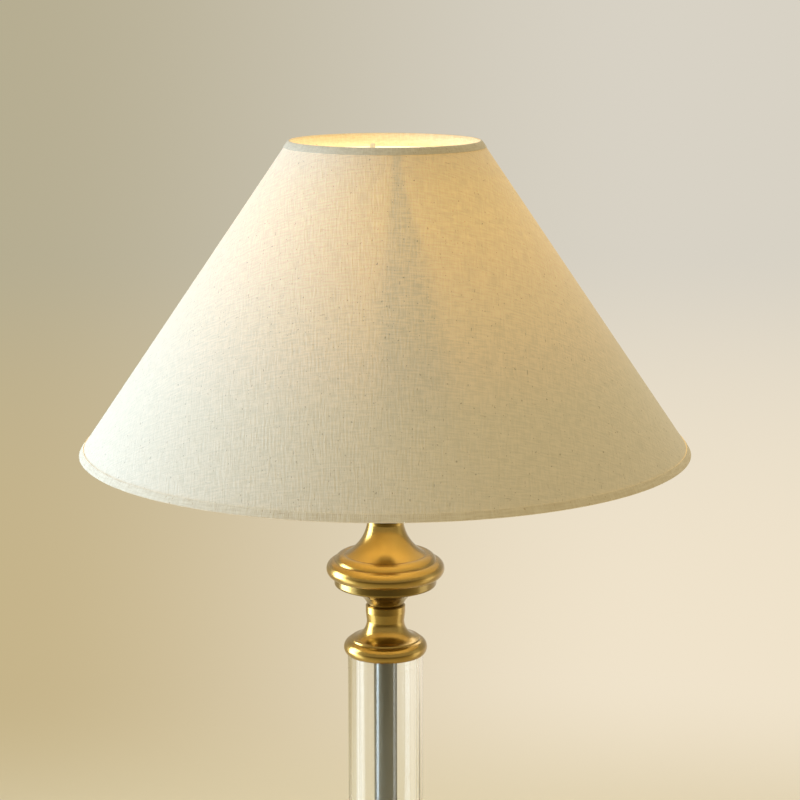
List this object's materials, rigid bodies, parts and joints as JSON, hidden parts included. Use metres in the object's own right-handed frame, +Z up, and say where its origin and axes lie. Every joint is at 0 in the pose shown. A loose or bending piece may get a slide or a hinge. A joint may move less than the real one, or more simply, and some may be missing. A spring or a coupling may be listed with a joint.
{
  "type": "table lamp",
  "caption": "Candlestick table lamp: turned brass fittings on a clear glass column with a chrome rod, weighted round foot and a wide linen cone shade.",
  "frame": {"origin": "on the table, under the lamp's axis", "axes": "+Z up along the lamp's axis; -Y towards the side that is pictured; +X to that view's right"},
  "size_m": [0.4009, 0.401, 0.6558],
  "materials": {
    "antique_brass": "polished, aged to olive in the hollows",
    "holder_brass": "lacquered",
    "chrome": "polished",
    "clear_glass": "clear",
    "opal_glass": "frosted inside",
    "cast_iron": "rough cast",
    "zinc_steel": "zinc plated",
    "white_wire": "white powder coat",
    "felt": "pressed felt",
    "black_rubber": "matte",
    "clear_rubber": "translucent",
    "black_plastic": "moulded",
    "white_ceramic": "glazed",
    "contact_brass": "bare",
    "cap_aluminium": "bare",
    "filament": "phosphor-coated",
    "linen": "coarse natural weave",
    "hem_linen": "folded tape of the same cloth",
    "shade_liner": "white laminate"
  },
  "bodies": {
    "stand": {"base_felt": "felt", "base_plate": "zinc_steel", "base_weight": "cast_iron", "base_foot": "antique_brass", "bottom_nut": "zinc_steel", "bottom_washer": "zinc_steel", "cord_grommet": "black_rubber", "lower_collar": "antique_brass", "lower_gasket": "clear_rubber", "glass_tube": "clear_glass", "rod_sleeve": "chrome", "threaded_tube": "zinc_steel", "upper_gasket": "clear_rubber", "upper_collar": "antique_brass", "knop_lower": "antique_brass", "knop_upper": "antique_brass", "neck": "antique_brass", "column_nut": "zinc_steel", "holder_cap": "holder_brass", "holder_body": "holder_brass", "switch_block": "black_plastic", "holder_skirt": "black_plastic", "socket_insulator": "white_ceramic", "socket_shell": "contact_brass", "centre_contact": "contact_brass"},
    "switch_bar": {"switch_bar": "black_plastic"},
    "bulb": {"bulb_contact": "zinc_steel", "bulb_insulator": "black_plastic", "bulb_cap": "cap_aluminium", "bulb_glass": "opal_glass", "bulb_stem": "clear_glass", "bulb_filaments": "filament"},
    "shade": {"carrier_ring": "white_wire", "front_arm": "white_wire", "back_arm": "white_wire", "top_ring": "white_wire", "bottom_ring": "white_wire", "shade_cover": "linen", "shade_liner": "shade_liner", "bottom_hem": "hem_linen", "top_hem": "hem_linen"},
    "clamp_ring": {"clamp_ring": "black_plastic"}
  },
  "joints": [
    {"name": "switch_press", "type": "slide", "parent": "stand", "child": "switch_bar", "axis": [1, 0, 0], "range_m": [0, 0.006]},
    {"name": "bulb_turn", "type": "hinge", "parent": "stand", "child": "bulb", "pos_m": [0, 0, 0.4726], "axis": [0, 0, 1], "range_deg": [0, 1080]},
    {"name": "shade_turn", "type": "hinge", "parent": "stand", "child": "shade", "pos_m": [0, 0, 0.4808], "axis": [0, 0, 1], "continuous": true},
    {"name": "clamp_ring_turn", "type": "hinge", "parent": "stand", "child": "clamp_ring", "pos_m": [0, 0, 0.4823], "axis": [0, 0, 1], "range_deg": [0, 1440]}
  ]
}
